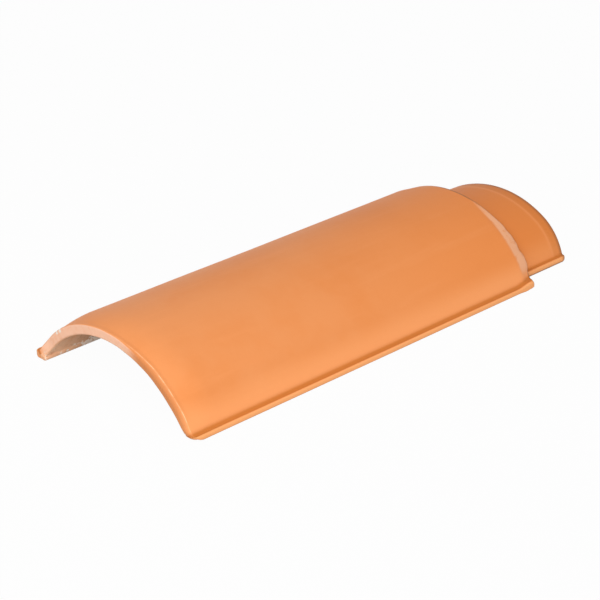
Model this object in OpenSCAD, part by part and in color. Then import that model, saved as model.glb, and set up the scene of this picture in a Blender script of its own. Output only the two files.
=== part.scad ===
// Clay cover tile with a rebated head: a low barrel arch on two lipped feet,
// stepped down at the head so that the tail of the next tile laps over it.
// Millimetres. X runs along the tile from tail to head, Z is up, the feet stand on Z = 0.

/* [Body] */
// Width over the two lips
tile_w = 200; // [180:1:230]
// Height of the crown above the floor
tile_h = 61.5; // [56:0.5:70]
// Length of the body, from the tail edge to the shoulder
body_l = 402; // [300:1:480]
// Thickness of the fired wall
wall_t = 9; // [8:0.5:11]
// Half angle of the flatter arc over the crown
crown_a = 28.5; // [26:0.5:31]
// Angle at which each flank arc reaches its foot
foot_a = 67.5; // [64:0.5:70]
// Rounding of the outer edge of the tail
tail_r = 4.5; // [2:0.5:5]
// Rounding of the inner edge of the tail
tail_in_r = 2; // [1:0.5:3]

/* [Lips and feet] */
// How far a body lip stands out beyond the flank
lip_out = 5.5; // [4:0.5:8]
// Height of the lips above the floor
lip_h = 7.5; // [6:0.5:10]
// Rounding of the upper edge of a lip
lip_top_r = 2; // [1:0.5:2.5]
// Rounding of the lower edge of a lip
lip_low_r = 2.5; // [1:0.5:3]
// Hollow fillet between a flank and its lip
fillet_r = 2.5; // [1.5:0.5:4]
// Rounding of the inner bottom edge of a foot
foot_in_r = 3.5; // [2:0.5:4]
// Rounding, in plan, of the lip corner at the tail
tail_corner_r = 4; // [2:0.5:8]
// Rounding, in plan, of the other lip corners
corner_r = 4; // [2:0.5:6]

/* [Spigot] */
// Length of the spigot beyond the shoulder
spigot_l = 63; // [45:1:80]
// Drop from the crown of the body to the crown of the spigot
spigot_drop = 13; // [12:0.5:16]
// Step in from a body lip to a spigot lip
spigot_in = 19; // [18:0.5:22]
// How far a spigot lip stands out beyond its flank
spigot_lip = 4.5; // [3.5:0.5:6]
// Thickness of the spigot wall
spigot_t = 8; // [7:0.5:9]
// Length of the sloped band at the spigot's end
band_l = 12.5; // [6:0.5:16]
// Drop of the sloped band
band_d = 2; // [1:0.5:3]
// Chamfer of the inner edge of the spigot's end
end_c = 1.5; // [0.5:0.5:2]

/* [Shoulder] */
// Length of the sloped shoulder edge along the tile
shoulder_l = 8.5; // [4:0.5:12]
// Drop of the sloped shoulder edge
shoulder_d = 3.5; // [2:0.5:5]
// Length of the inner ramp that leads the body wall into the spigot
ramp_l = 24; // [16:1:36]
// Length of the thick neck between the ramp and the shoulder
neck_l = 10; // [8:1:16]

/* [Hidden] */
$fn = 128;
// Height above the floor at which the arcs are taken to end
foot_z = lip_h + 1;
// Extra arc length that sinks each flank into its foot
sink = 2.5;
// Depth by which a hollow fillet is let into the faces it joins
bite = 0.1;
// Depth to which a fillet is rooted below the faces it joins
root = 1.5;
// Reach of a cutting shape beyond the face that it cuts
over = 1;
// Half angle of the strips inside the wall that carry one arc over into the next
tie_a = 2;
total_l = body_l + spigot_l;
// Where the thick neck begins, and where the ramp that leads into it begins
neck_x = body_l - neck_l;
ramp_x = neck_x - ramp_l;
// Height, above the spigot's own outer face, to which its neck and its ramp reach into the body wall
neck_top = spigot_drop - wall_t / 2;
ramp_top = neck_top - 1;
// Depth, below the body's outer face, to which the body wall reaches into the spigot's neck
neck_in = spigot_drop + spigot_t / 2;
body_arch = arch(tile_w / 2 - lip_out, tile_h);
spigot_arch = arch(tile_w / 2 - spigot_in - spigot_lip, tile_h - spigot_drop);
body_foot_y = foot_in(body_arch, wall_t);
spigot_foot_y = foot_in(spigot_arch, spigot_t);
ramp_foot_y = foot_in(spigot_arch, -ramp_top);
// Height of the web under the ramp, just over the level where the ramp's own arcs end
web_h = foot_z + ramp_top * cos(foot_a) + 0.5;

// Three-centred arch over a half span a with its crown at height top:
// [crown radius, flank radius, crown centre height, flank centre offset, flank centre height].
function arch(a, top) =
    let (rise = top - foot_z)
    let (sc = sin(crown_a))
    let (cc = 1 - cos(crown_a))
    let (sf = sin(foot_a) - sin(crown_a))
    let (cf = cos(crown_a) - cos(foot_a))
    let (det = sc * cf - sf * cc)
    let (r1 = (a * cf - rise * sf) / det)
    let (r2 = (rise * sc - a * cc) / det)
    [r1, r2, top - r1, (r1 - r2) * sin(crown_a), top - r1 + (r1 - r2) * cos(crown_a)];

// Distance from the middle to the inner face of a foot, where the inner arc ends.
function foot_in(arc, t) = arc[3] + (arc[1] - t) * sin(foot_a);

// A length rounded to whole microns, and what is left over.
function whole(v) = round(v * 1000) / 1000;

// Move in two steps, whole microns and then the rest, so that neighbouring arcs share one face.
module shift(v) {
    w = [for (c = v) whole(c)];
    translate(w) translate(v - w) children();
}

// Sweep a wall profile about an axis along X, from one angle off the vertical to another.
module sector(cy, cz, r, from, to) {
    shift([0, cy, cz])
        rotate([0, 90, 0])
            rotate([0, 0, 180])
                rotate_extrude(angle = to - from, start = from)
                    shift([r, 0, 0])
                        children();
}

// The three arcs of an arch, all with the same wall profile, tied together inside a wall of
// thickness t between the stations x0 and x1.
module vault(arc, t, x0, x1) {
    last = foot_a + sink / arc[1] * 180 / PI;
    sector(0, arc[2], arc[0], -crown_a, crown_a) children();
    sector(-arc[3], arc[4], arc[1], crown_a, last) children();
    sector(arc[3], arc[4], arc[1], -last, -crown_a) children();
    for (side = [-1, 1])
        sector(0, arc[2], arc[0], side * crown_a - tie_a, side * crown_a + tie_a)
            translate([-t * 2 / 3, x0]) square([t / 3, x1 - x0]);
}

// Wall of the body: rounded tail at one end of the profile, sloped shoulder and thick neck at the other.
module body_profile() {
    polygon([
        [-wall_t, tail_in_r],
        [-wall_t + tail_in_r, tail_in_r],
        [-wall_t + tail_in_r, 0],
        [-tail_r, 0],
        [-tail_r, tail_r],
        [0, tail_r],
        [0, body_l - shoulder_l],
        [-shoulder_d, body_l],
        [-neck_in, body_l],
        [-neck_in, neck_x],
        [-wall_t, neck_x - ramp_l / 2]
    ]);
    translate([-tail_r, tail_r]) circle(r = tail_r);
    translate([-wall_t + tail_in_r, tail_in_r]) circle(r = tail_in_r);
}

// Wall of the spigot with its sloped end band, its neck and the ramp up into the body wall.
module spigot_profile() {
    polygon([
        [-spigot_t, neck_x],
        [-spigot_t, total_l - end_c],
        [-spigot_t + end_c, total_l],
        [-band_d, total_l],
        [0, total_l - band_l],
        [0, body_l],
        [neck_top, body_l],
        [neck_top, ramp_x],
        [ramp_top, ramp_x]
    ]);
}

// Section of the rounded bar of one foot, from its inner face y0 to the nose of its lip y1.
module foot_bar(y0, y1) {
    difference() {
        translate([y0, 0]) square([y1 - y0, lip_h]);
        corner(y0, 0, 1, 1, foot_in_r);
        corner(y1, 0, -1, 1, lip_low_r);
        corner(y1, lip_h, -1, -1, lip_top_r);
    }
}

// Section of the hollow fillet from the top of a lip up its flank.
module foot_fillet(arc) {
    cz = lip_h + fillet_r - bite;
    cy = arc[3] + sqrt(pow(arc[1] + fillet_r - bite, 2) - pow(cz - arc[4], 2));
    reach = (fillet_r + root) / (arc[1] + fillet_r - bite);
    py = cy - (cy - arc[3]) * reach;
    pz = cz - (cz - arc[4]) * reach;
    difference() {
        polygon([[cy, lip_h - root], [cy, cz], [py, pz], [py, lip_h - root]]);
        translate([cy, cz]) circle(r = fillet_r);
    }
}

// What a rounding takes off a corner at (x, y); sx and sy point into the shape.
module corner(x, y, sx, sy, r) {
    translate([x, y]) scale_sign(sx, sy)
        difference() {
            translate([-over, -over]) square(r + over - bite / 2);
            translate([r - bite / 2, r - bite / 2]) circle(r = r);
        }
}

// Turn a corner piece into one of the four quadrants.
module scale_sign(sx, sy) {
    mirror([sx < 0 ? 1 : 0, 0]) mirror([0, sy < 0 ? 1 : 0]) children();
}

// A section carried along the tile from x0 to x1.
module along(x0, x1) {
    translate([x0, 0, 0]) rotate([90, 0, 90]) linear_extrude(x1 - x0) children();
}

// One lipped foot from x0 to x1, with its nose rounded in plan at both ends.
module foot(y0, y1, x0, x1, ra, rb) {
    difference() {
        along(x0, x1) foot_bar(y0, y1);
        translate([0, 0, -over]) linear_extrude(lip_h + 2 * over) corner(x0, y1, 1, -1, ra);
        translate([0, 0, -over]) linear_extrude(lip_h + 2 * over) corner(x1, y1, -1, -1, rb);
    }
}

// Both feet of one side, and the web that carries the shoulder down to the floor.
module side() {
    foot(body_foot_y, tile_w / 2, 0, body_l, tail_corner_r, corner_r);
    along(tail_r, body_l - shoulder_l) foot_fillet(body_arch);
    foot(spigot_foot_y, tile_w / 2 - spigot_in, neck_x, total_l, over, corner_r);
    along(neck_x, total_l - band_l) foot_fillet(spigot_arch);
    linear_extrude(foot_in_r)
        translate([ramp_x, body_foot_y]) square([ramp_l + neck_l, foot_in_r + root]);
    linear_extrude(web_h)
        polygon([
            [ramp_x, ramp_foot_y],
            [neck_x, spigot_foot_y],
            [neck_x, spigot_foot_y + foot_in_r],
            [body_l, spigot_foot_y + foot_in_r],
            [body_l, body_foot_y + root],
            [ramp_x, body_foot_y + root]
        ]);
}

// The whole tile, moulded and fired in one piece.
module tile() {
    color("#e2925a") translate([-total_l / 2, 0, 0]) {
        vault(body_arch, wall_t, 2 * tail_r, neck_x) body_profile();
        vault(spigot_arch, spigot_t, neck_x, total_l - band_l) spigot_profile();
        side();
        mirror([0, 1, 0]) side();
    }
}

tile();
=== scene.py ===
"""Fired clay cover tile with a rebated head, dressed for a studio picture.

The tile is one skin: its cross section is a closed loop that is carried along the tile from tail to head.
The tile's own sizes are millimetres, with places along it measured from the tail, and they become metres
when the mesh is written. The finish and the studio name their units where they differ.
"""

from __future__ import annotations

import logging
import math
from dataclasses import dataclass, field, replace
from enum import Enum
from typing import Any

import bpy
import numpy as np
from mathutils import Matrix, Vector

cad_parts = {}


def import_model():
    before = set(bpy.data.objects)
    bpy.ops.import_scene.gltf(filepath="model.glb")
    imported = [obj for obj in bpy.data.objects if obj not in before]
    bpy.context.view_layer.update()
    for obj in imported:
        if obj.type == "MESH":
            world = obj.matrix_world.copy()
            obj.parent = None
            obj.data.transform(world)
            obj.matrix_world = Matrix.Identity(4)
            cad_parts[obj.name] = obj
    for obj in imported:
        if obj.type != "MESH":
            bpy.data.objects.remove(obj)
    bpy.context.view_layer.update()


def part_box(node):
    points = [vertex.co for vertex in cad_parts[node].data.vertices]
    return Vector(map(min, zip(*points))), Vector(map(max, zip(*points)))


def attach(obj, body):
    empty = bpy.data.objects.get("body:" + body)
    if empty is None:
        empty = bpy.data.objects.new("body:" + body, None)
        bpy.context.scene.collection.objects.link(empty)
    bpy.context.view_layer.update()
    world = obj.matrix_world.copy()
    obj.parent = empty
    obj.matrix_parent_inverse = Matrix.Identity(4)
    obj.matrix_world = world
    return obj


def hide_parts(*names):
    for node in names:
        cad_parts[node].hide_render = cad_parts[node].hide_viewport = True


MM = 0.001
NODE = "tile"
BODY = "root"
CLAY_SLOT = "fired_clay"
PHOTO_SIDE_PX = 600
QUARTER_TURN = 0.5 * math.pi
NOISE_MIDDLE = 0.5
TINY = 1e-6

Span = tuple[float, float]
Colour = tuple[float, float, float]

WHITE: Colour = (1.0, 1.0, 1.0)

log = logging.getLogger("cover_tile")


def smooth(low: float, high: float, value: np.ndarray) -> np.ndarray:
    """Ease from 0 at low to 1 at high by the cubic 3t^2 - 2t^3.

    Args:
        low: Value at which the result is 0.
        high: Value at which the result is 1.
        value: Values to ease.

    Returns:
        The eased values, between 0 and 1.
    """
    t = np.clip((value - low) / (high - low), 0.0, 1.0)
    return t * t * (3.0 - 2.0 * t)


def bell(middle: float, width: float, value: np.ndarray) -> np.ndarray:
    """Bell curve exp(-((value - middle) / width)^2), which is 1 at its middle."""
    return np.exp(-(((value - middle) / width) ** 2))


def ramp(count: int, last: bool = False) -> np.ndarray:
    """Row of shares from 0 towards 1, of shape (1, count), that ends at 1 itself where last is set."""
    return np.linspace(0.0, 1.0, count, endpoint=last)[None, :]


@dataclass(frozen=True)
class Wave:
    """A sine wave: height * sin(rate * place + phase)."""

    height: float
    rate: float
    phase: float = 0.0

    def at(self, place: np.ndarray) -> np.ndarray:
        """Height of the wave at each place."""
        return self.height * np.sin(self.rate * place + self.phase)


class Wall(Enum):
    """The two sides of the fired wall."""

    OUTER = "outer"
    INNER = "inner"


@dataclass(frozen=True)
class Arch:
    """Three-centred arch: a flat arc over the crown, tangent to a tighter arc down each flank."""

    half_span: float
    crown: float
    foot_level: float
    crown_angle: float
    foot_angle: float

    def radii(self) -> tuple[float, float]:
        """Solve the two radii from the half span and the rise.

        Returns:
            The crown radius and the flank radius.
        """
        a, b = math.radians(self.crown_angle), math.radians(self.foot_angle)
        rise = self.crown - self.foot_level
        span_1, rise_1 = math.sin(a), 1.0 - math.cos(a)
        span_2, rise_2 = math.sin(b) - math.sin(a), math.cos(a) - math.cos(b)
        det = span_1 * rise_2 - span_2 * rise_1
        crown_r = (self.half_span * rise_2 - rise * span_2) / det
        flank_r = (rise * span_1 - self.half_span * rise_1) / det
        return crown_r, flank_r

    def flank_centre(self) -> tuple[float, float]:
        """Centre of the flank arc, on the line from the crown arc's centre to where the arcs meet.

        Returns:
            The centre on the positive side, as (across, up).
        """
        crown_r, flank_r = self.radii()
        a = math.radians(self.crown_angle)
        return (crown_r - flank_r) * math.sin(a), self.crown - crown_r + (crown_r - flank_r) * math.cos(a)

    def points(self, angle: np.ndarray, offset: np.ndarray | float) -> np.ndarray:
        """Points of the arch: centre + (radius + offset) * (sin angle, cos angle).

        Args:
            angle: Angles off the vertical, in degrees, from 0 at the crown.
            offset: Distance outside the arch.

        Returns:
            Array of (across, up) pairs with the shape of angle.
        """
        crown_r, flank_r = self.radii()
        centre_y, centre_z = self.flank_centre()
        t = np.radians(angle)
        flat = angle < self.crown_angle
        radius = np.where(flat, crown_r, flank_r) + offset
        y = np.where(flat, 0.0, centre_y) + radius * np.sin(t)
        z = np.where(flat, self.crown - crown_r, centre_z) + radius * np.cos(t)
        return np.stack([y, z], axis=-1)


@dataclass(frozen=True)
class Counts:
    """How many points each stretch of a half section has, from the sole of a foot to the crown."""

    sole: int = 8
    low_round: int = 6
    nose: int = 3
    top_round: int = 5
    ledge: int = 4
    fillet: int = 6
    arch: int = 66

    def lip(self) -> int:
        """Number of points before the ledge on top of the lip begins."""
        return self.sole + self.low_round + self.nose + self.top_round

    def foot(self) -> int:
        """Number of points before the arch begins."""
        return self.lip() + self.ledge + self.fillet

    def half(self) -> int:
        """Number of points of a whole half section."""
        return self.foot() + self.arch


@dataclass(frozen=True)
class FootParts:
    """Where the parts of a foot begin and end, in points from a landmark of the half section."""

    # From the point where the sole ends.
    nose_begins: Span = (1.0, 4.0)
    under_ends: Span = (4.6, 7.0)
    # From the point where the ledge on top of the lip begins.
    nose_ends: Span = (-3.0, 0.0)
    ledge_begins: Span = (-2.0, 1.0)
    # From the point where the arch begins.
    ledge_ends: Span = (-2.5, 1.5)
    foot_ends: Span = (-4.0, 10.0)
    core_ends: Span = (-16.0, 8.0)


@dataclass(frozen=True)
class Section:
    """Cross section of one stretch of the tile: an arched wall that stands on two lipped feet."""

    arch: Arch
    wall: float
    lip_out: float
    lip_h: float = 7.5
    lip_top_r: float = 2.0
    lip_low_r: float = 2.4
    fillet_r: float = 2.5
    foot_in_r: float = 3.0
    # Angles off the crown between which an offset of the outer face grows from nothing to its full depth.
    # These two lie before the crown, so that the offset is full everywhere.
    offset_from: float = -2.0
    offset_full: float = -1.0

    def inner_foot(self) -> np.ndarray:
        """Where the inner arc ends, as (across, up)."""
        return self.arch.points(np.array(self.arch.foot_angle), -self.wall)

    def sole_middle(self) -> float:
        """Middle of the sole of a foot, across the tile."""
        return 0.5 * (self.inner_foot()[0] + self.arch.half_span + self.lip_out)

    def outer_half(
        self,
        n: Counts,
        offset: np.ndarray,
        pull: np.ndarray,
        filled: np.ndarray | float = 0.0,
        raised: np.ndarray | float = 0.0,
    ) -> tuple[np.ndarray, np.ndarray]:
        """Outline from the middle of the sole round the lip and up the flank to the crown.

        The lip is a bar with two round edges, and a hollow fillet leads from it up to the flank arc.

        Args:
            n: Points of each stretch.
            offset: Offset of the arched face for each station, shape (stations, 1).
            pull: How far the lip's nose is drawn in at each station, shape (stations, 1).
            filled: Share of the lip's lower rounding that a burr fills at each station.
            raised: How much higher than usual the lip is at each station.

        Returns:
            Points of shape (stations, points, 2), and the angle of each arch point.
        """
        flat = np.zeros_like(offset)
        centre_y, centre_z = self.arch.flank_centre()
        reach = self.arch.radii()[1] + offset + self.fillet_r
        lip_h = flat + self.lip_h + raised
        hollow_z = lip_h + self.fillet_r
        hollow_y = centre_y + np.sqrt(reach**2 - (hollow_z - centre_z) ** 2)
        touch = np.arctan2(hollow_y - centre_y, hollow_z - centre_z)
        nose = self.arch.half_span + self.lip_out - pull
        middle = flat + self.sole_middle()
        low_r = flat + self.lip_low_r * (1.0 - filled)
        low_y = nose - low_r
        top_y = np.maximum(nose - self.lip_top_r, hollow_y)

        sole, low, rise = ramp(n.sole), ramp(n.low_round) * QUARTER_TURN, ramp(n.nose)
        top, ledge, hollow = ramp(n.top_round) * QUARTER_TURN, ramp(n.ledge), ramp(n.fillet) * touch
        angle = np.degrees(touch) * (1.0 - ramp(n.arch, last=True))
        arch = self.arch.points(angle, offset * smooth(self.offset_from, self.offset_full, angle))
        y = [
            middle + (low_y - middle) * sole,
            low_y + low_r * np.sin(low),
            nose + flat * rise,
            top_y + (nose - top_y) * np.cos(top),
            top_y + (hollow_y - top_y) * ledge,
            hollow_y - self.fillet_r * np.sin(hollow),
            arch[..., 0],
        ]
        z = [
            flat * sole,
            low_r * (1.0 - np.cos(low)),
            low_r + (lip_h - self.lip_top_r - low_r) * rise,
            lip_h - self.lip_top_r * (1.0 - np.sin(top)),
            lip_h + flat * ledge,
            hollow_z - self.fillet_r * np.cos(hollow),
            arch[..., 1],
        ]
        return np.stack([np.concatenate(y, axis=1), np.concatenate(z, axis=1)], axis=-1), angle

    def inner_half(self, n: Counts, stations: int) -> tuple[np.ndarray, np.ndarray]:
        """Outline from the middle of the sole up the inner face of the foot and along the inner arc.

        Args:
            n: Points of each stretch.
            stations: Number of stations.

        Returns:
            Points of shape (stations, points, 2), and the angle of each arch point.
        """
        flat = np.zeros((stations, 1))
        angle = flat + self.arch.foot_angle * (1.0 - ramp(n.arch, last=True))
        arch = self.arch.points(angle, -self.wall)
        foot_y, foot_z = arch[:, :1, 0], arch[:, :1, 1]
        middle = flat + self.sole_middle()
        spare = n.foot() - n.sole - n.low_round
        sole, low, face = ramp(n.sole), ramp(n.low_round) * QUARTER_TURN, ramp(spare)
        y = [
            middle + (foot_y + self.foot_in_r - middle) * sole,
            foot_y + self.foot_in_r * (1.0 - np.sin(low)),
            foot_y + flat * face,
            arch[..., 0],
        ]
        z = [
            flat * sole,
            flat + self.foot_in_r * (1.0 - np.cos(low)),
            self.foot_in_r + (foot_z - self.foot_in_r) * face,
            arch[..., 1],
        ]
        return np.stack([np.concatenate(y, axis=1), np.concatenate(z, axis=1)], axis=-1), angle


@dataclass(frozen=True)
class Side:
    """What one side of the tile has of its own."""

    body: Section
    spigot: Section
    # Length and depth of the rounding of the lip at the tail.
    tail_corner: Span
    # How far the flank swells out at the tail.
    swell: float = 0.0
    # Share of the lip's lower rounding that the burr fills at its middle.
    burr_fill: float = 0.0
    # How much the lip rises before the shoulder.
    rise: float = 0.0


@dataclass(frozen=True)
class Wear:
    """Where the slip is missing or worn, and where light and shade are painted, which the marks for the
    finish follow.

    A turn is the share of the way round the edge of an end face, from its flat to the wall. A share across
    runs from 0 at the far sole over the crown to 1 at the near sole.
    """

    # Turns at which the bare clay of an end face gives way to the slip.
    tail_bare: Span = (0.10, 0.85)
    head_bare: Span = (0.20, 0.90)
    # Shares across between which slip has run over the tail's end face, how much of the bare clay it and
    # the far foot's slip cover, and how far in from the tail it has run along the inner side.
    run: Span = (0.50, 0.64)
    run_cover: float = 0.85
    far_cover: float = 0.7
    run_in: Span = (4.0, 12.0)
    # Pale line along the tail's outer edge, worn slip with a painted highlight on the rounding: its turn and
    # width, what is left of it on the far side, and how much of it the near foot loses.
    pale_line: Span = (0.88, 0.08)
    pale_far: float = 0.3
    pale_foot: float = 0.8
    # Chips in the far edge of the tail: their shares across, their half width there, and the rows of the
    # end face over which they begin.
    chips: tuple[float, ...] = (0.262, 0.279)
    chip_w: float = 0.006
    chip_rows: Span = (0.0, 2.0)
    # Painted shade at the tail, partly dirt: the inner edge's turn and width, its strength there, on the
    # face and, as a plain darkening, at the far foot, and the turns at which it ends on the face.
    shade_line: Span = (0.75, 0.35)
    shade_edge: float = 0.7
    shade_face: float = 0.4
    dark_far_foot: float = 0.3
    shade_ends: Span = (0.50, 0.85)
    # Bare band of the shoulder: the share of its width that is left at the crown, how softly it begins,
    # the shares of the step down at which it ends, and the power of its fading towards the crown.
    band_crown: float = 0.25
    band_begins: Span = (-2.0, 2.0)
    band_ends: Span = (0.15, 0.90)
    band_fade: float = 0.22
    # Painted shade: a dark brink before the shoulder's edge where it has no bare band, and a dark rim round
    # the spigot's end.
    brink: Span = (-2.0, -0.4)
    end_rim: Span = (-5.0, -0.5)
    # The painted shade along the lower edge of the lips is weaker on the body than beyond the shoulder.
    under_body: float = 0.3
    under_grows: Span = (-2.0, 2.0)
    # Where the spigot's end band, which carries painted shade, sets in, and the half width of the crease
    # there, which carries a painted highlight with thinner slip.
    end_band: Span = (-1.0, 3.0)
    crease_w: float = 1.6


@dataclass
class CoverTile:
    """The whole tile: body, rebated shoulder and spigot, with the irregularities of this one firing."""

    length: float
    width: float
    height: float
    counts: Counts = Counts()
    parts: FootParts = FootParts()
    wear: Wear = Wear()
    # Wall, arch and lips of the body, with the angles in degrees off the vertical.
    wall: float = 9.0
    crown_angle: float = 28.5
    foot_angle: float = 67.5
    foot_level: float = 8.5
    lip_out: float = 5.5
    lip_corner_r: float = 4.0
    # Spigot, with the sloped band and the rounding at its end.
    spigot_l: float = 60.5
    spigot_drop: float = 13.0
    spigot_in: float = 19.0
    spigot_lip: float = 4.5
    spigot_wall: float = 8.0
    spigot_corner_r: float = 0.8
    band_l: float = 12.5
    band_d: float = 0.3
    head_r: float = 0.5
    # Ramp and neck that lead the wall into the spigot on the inner side.
    ramp_l: float = 24.0
    neck_l: float = 10.0
    # Length and depth of the shoulder's slope.
    shoulder_l: float = 10.0
    shoulder_d: float = 2.6
    # The slope runs out towards the crown, between these angles off the vertical.
    shoulder_from: float = 8.0
    shoulder_full: float = 40.0
    # The shoulder's edge bulges towards the head on the flanks and wanders. The waves run over the share
    # across, and the spans are the stretches, from the shoulder, over which this begins and ends.
    shoulder_bulge: float = 2.2
    shoulder_waves: tuple[Wave, ...] = (Wave(0.5, 47.0, 2.0), Wave(0.5, 83.0), Wave(0.3, 151.0))
    wander_begins: Span = (-12.0, -2.0)
    wander_ends: Span = (0.0, 6.0)
    # The spigot sits a little off the middle, towards the near side, where its crown leans and lifts too.
    spigot_shift: float = 2.5
    spigot_lean: float = 1.5
    spigot_roll: float = 0.035
    # The near lips came out lower than the far ones, with a wider hollow above the body's lip.
    near_lip_h: float = 5.0
    near_lip_low_r: float = 1.5
    near_fillet_r: float = 3.8
    near_spigot_lip_h: float = 6.0
    # The near lip rises again over its last stretch before the shoulder.
    near_rise: float = 2.2
    near_rise_l: float = 22.0
    # Length and depth of the roundings of the lips at the tail.
    far_corner: Span = (1.5, 0.8)
    near_corner: Span = (6.0, 3.0)
    # Radius, seen from the side, of the round heel of the near foot at the tail.
    heel_r: float = 10.0
    # A burr under the near lip: its middle along the tile, its half length, and how much of the lip's lower
    # rounding it fills.
    burr: Span = (393.0, 4.5)
    burr_fill: float = 0.85
    # The tail edge has drawn in while drying: a lower arch of its own with ends a little further out and
    # up, over the last stretch of the body, where it sets in by this power of the way.
    drawn_l: float = 36.0
    drawn_drop: float = 3.2
    drawn_out: float = 0.3
    drawn_foot_angle: float = 55.4
    drawn_wall: float = 8.4
    drawn_power: float = 2.1
    far_swell: float = 0.9
    # How far the tail edge lies behind the tile's end along the arch, at the near foot and everywhere, and
    # its unevenness over the share across.
    setback_arch: float = 3.3
    setback_near: float = 2.2
    setback_all: float = 0.18
    setback_waves: tuple[Wave, ...] = (Wave(0.12, 41.0), Wave(0.06, 97.0, 1.0))
    # Roundings of the tail edge, and the shares across between which the far one leads into the near one.
    tail_far_r: float = 1.4
    tail_near_r: float = 4.0
    tail_foot_r: float = 5.5
    tail_in_r: float = 1.6
    tail_near: Span = (0.50, 0.72)
    # Slow waves of the firing along the tile: the crown's sag, a ripple that lags across the tile, how far
    # the crown has settled, and the spread of the flanks with the share of it that reaches the floor.
    sag: Wave = Wave(0.22, 1 / 61, 1.3)
    ripple: Wave = Wave(0.14, 1 / 23, 0.4)
    ripple_lag: float = 23 / 48
    settled: float = 0.15
    spread_waves: tuple[Wave, ...] = (Wave(0.15, 1 / 83, 0.5), Wave(0.072, 1 / 19, 2.0))
    spread_low: float = 0.35
    # Rows of points along the tile, and how many of them before the shoulder the inner rows part from the
    # outer ones.
    drawn_rows: int = 22
    body_rows: int = 120
    apart_rows: int = 8
    slope_rows: int = 10
    face_rows: int = 8
    spigot_rows: int = 18
    band_rows: int = 7
    # Distance from the shoulder's face to the next row, and from the row under its edge to the neck.
    face_gap: float = 0.4
    neck_gap: float = 6.0
    # Rows of an end face, the share of them on its flat part, the share of the way out at which they begin,
    # and the largest rounding as a share of that way.
    cap_rows: int = 12
    cap_flat: float = 0.3
    cap_core: float = 0.1
    cap_round: float = 0.85
    # How much deeper than the last row of the tail's end face the body's first row lies.
    seam_gain: float = 1.05
    seam_gap: float = 0.05
    # Worked out from the sizes above.
    body_l: float = field(init=False)
    neck_x: float = field(init=False)
    ramp_x: float = field(init=False)
    tail: Arch = field(init=False)
    far: Side = field(init=False)
    near: Side = field(init=False)

    def __post_init__(self) -> None:
        """Work out the stations of the head, and the sections of the tail edge and of both sides."""
        self.body_l = self.length - self.spigot_l
        self.neck_x = self.body_l - self.neck_l
        self.ramp_x = self.neck_x - self.ramp_l
        half = 0.5 * self.width
        self.tail = self.arched(
            half - self.lip_out + self.drawn_out,
            self.height - self.drawn_drop,
            foot_level=self.foot_level + self.drawn_out,
            foot_angle=self.drawn_foot_angle,
        )
        body = Section(
            self.arched(half - self.lip_out, self.height),
            self.wall,
            self.lip_out,
            offset_from=self.shoulder_from,
            offset_full=self.shoulder_full,
        )
        neck = self.arched(half - self.spigot_in - self.spigot_lip, self.height - self.spigot_drop)
        spigot = Section(neck, self.spigot_wall, self.spigot_lip)
        near_body = replace(
            body, lip_h=self.near_lip_h, lip_low_r=self.near_lip_low_r, fillet_r=self.near_fillet_r
        )
        near_spigot = replace(spigot, lip_h=self.near_spigot_lip_h)
        self.far = Side(body, spigot, self.far_corner, swell=self.far_swell)
        self.near = Side(
            near_body, near_spigot, self.near_corner, burr_fill=self.burr_fill, rise=self.near_rise
        )

    def arched(self, half_span: float, crown: float, **own: float) -> Arch:
        """An arch with the tile's own foot level and angles, apart from those that are given."""
        shared = Arch(half_span, crown, self.foot_level, self.crown_angle, self.foot_angle)
        return replace(shared, **own)

    def stations(self) -> dict[str, np.ndarray]:
        """Stations along the tile, one row each, for both sides of the wall.

        Returns:
            Arrays with one value for each row: "outer" and "inner" distance from the tail, and "step_out"
            and "step_in", the share of the way from the body to the spigot on each side.
        """
        step = np.linspace
        slope_x = self.body_l - self.shoulder_l
        spigot_x = self.body_l + self.face_gap
        band_x = self.length - self.band_l
        end_x = self.length - self.head_r
        outer = np.concatenate([
            step(0.0, self.drawn_l, self.drawn_rows, endpoint=False),
            step(self.drawn_l, slope_x, self.body_rows, endpoint=False),
            step(slope_x, self.body_l, self.slope_rows, endpoint=False),
            np.full(self.face_rows, self.body_l),
            step(spigot_x, band_x, self.spigot_rows, endpoint=False),
            step(band_x, end_x, self.band_rows),
        ])
        plain = self.drawn_rows + self.body_rows
        apart, slope_end = plain - self.apart_rows, plain + self.slope_rows
        face_end = slope_end + self.face_rows
        rows = np.arange(len(outer))
        keys = [0, apart, plain, slope_end, face_end, len(outer) - 1]
        places = [0.0, outer[apart], self.ramp_x, self.neck_x - self.neck_gap, spigot_x, end_x]
        inner = np.where(rows <= apart, outer, np.interp(rows, keys, places))
        inner = np.where(rows >= face_end, outer, inner)
        step_out = np.zeros(len(outer))
        step_out[slope_end:face_end] = smooth(0.0, 1.0, step(0.0, 1.0, self.face_rows))
        step_out[face_end:] = 1.0
        step_in = np.clip((inner - self.ramp_x) / self.ramp_l, 0.0, 1.0)
        return {"outer": outer, "inner": inner, "step_out": step_out, "step_in": step_in}

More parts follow.
